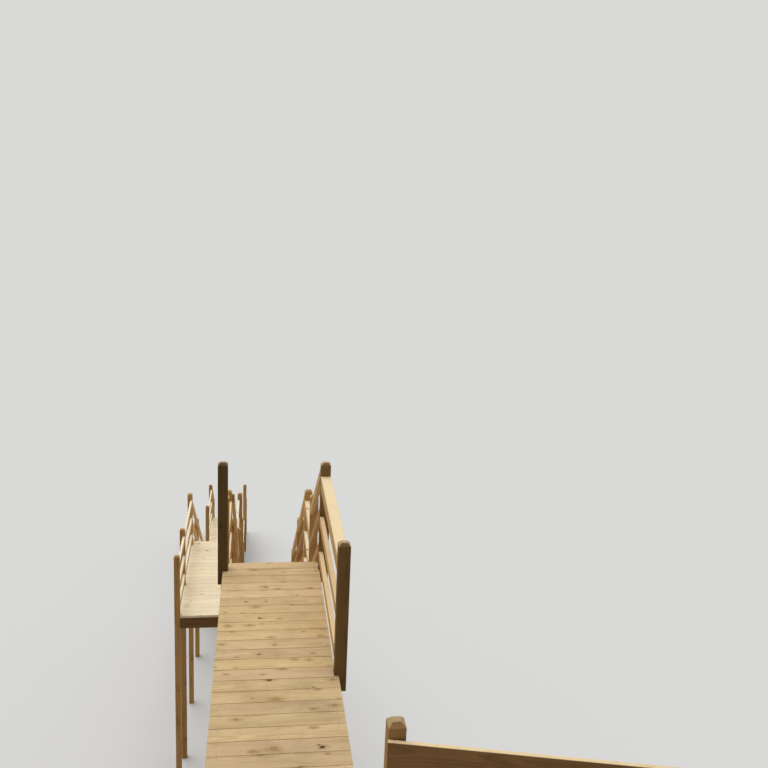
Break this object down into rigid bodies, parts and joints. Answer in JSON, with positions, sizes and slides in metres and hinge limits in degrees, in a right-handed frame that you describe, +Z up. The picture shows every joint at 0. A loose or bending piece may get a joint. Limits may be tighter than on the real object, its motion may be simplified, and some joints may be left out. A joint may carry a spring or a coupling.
{
  "type": "wooden deck stairs",
  "caption": "Timber boardwalk with straight flights, landings and post and rail guards stepping down a slope on long square posts.",
  "frame": {"origin": "centre of the footprint, on the ground that the feet stand on", "axes": "+Z up, +Y along the walkway in the direction in which the stairs go down, +X to the walker's right"},
  "size_m": [3.9042, 22.3927, 7.897],
  "materials": {
    "deck_pine": "new pale yellow pine boards, knotty, unfinished",
    "rail_pine": "new pine rails, pale on top and browner on their sides",
    "post_pine": "treated pine posts, olive brown",
    "frame_pine": "treated pine joists, stringers and legs"
  },
  "bodies": {
    "root": {"walkway_boards": "deck_pine", "walkway_frame": "frame_pine", "walkway_posts": "post_pine", "walkway_rails": "rail_pine", "near_arm_boards": "deck_pine", "near_arm_frame": "frame_pine", "near_arm_posts": "post_pine", "near_arm_rails": "rail_pine", "upper_flight_treads": "deck_pine", "upper_flight_stringers": "frame_pine", "upper_flight_posts": "post_pine", "upper_flight_rails": "rail_pine", "middle_landing_boards": "deck_pine", "middle_landing_frame": "frame_pine", "middle_landing_posts": "post_pine", "middle_landing_rails": "rail_pine", "long_flight_treads": "deck_pine", "long_flight_stringers": "frame_pine", "long_flight_posts": "post_pine", "long_flight_rails": "rail_pine", "lower_landing_boards": "deck_pine", "lower_landing_frame": "frame_pine", "lower_landing_posts": "post_pine", "lower_landing_rails": "rail_pine", "lower_flight_treads": "deck_pine", "lower_flight_stringers": "frame_pine", "lower_flight_posts": "post_pine", "lower_flight_rails": "rail_pine", "lower_walkway_boards": "deck_pine", "lower_walkway_frame": "frame_pine", "lower_walkway_posts": "post_pine", "lower_walkway_rails": "rail_pine", "foot_flight_treads": "deck_pine", "foot_flight_stringers": "frame_pine", "foot_flight_posts": "post_pine", "foot_flight_rails": "rail_pine", "plain_legs": "frame_pine", "level_cap_rails": "rail_pine", "sloped_cap_rails": "rail_pine"}
  },
  "joints": []
}
